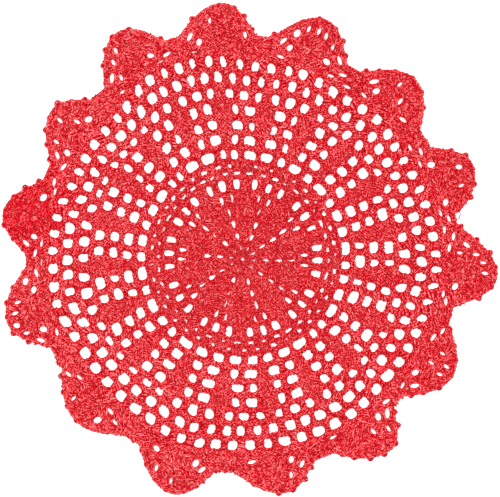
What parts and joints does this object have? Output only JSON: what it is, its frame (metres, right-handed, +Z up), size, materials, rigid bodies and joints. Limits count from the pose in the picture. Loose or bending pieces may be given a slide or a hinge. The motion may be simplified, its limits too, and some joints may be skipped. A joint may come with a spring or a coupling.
{
  "type": "crochet lace placemat",
  "caption": "Round flat placemat of red cotton crochet lace, with leaves standing in a square mesh around a closed middle, and an uneven scalloped edge with picots.",
  "frame": {"origin": "middle of the mat's box, at its underside on the table", "axes": "+Z up out of the table, +X to the right and +Y towards the top of the picture, which looks straight down"},
  "size_m": [0.3472, 0.3454, 0.0024],
  "materials": {
    "cotton": "matte twisted cotton yarn with a soft sheen"
  },
  "bodies": {
    "root": {"lace_mat": "cotton"}
  },
  "joints": []
}
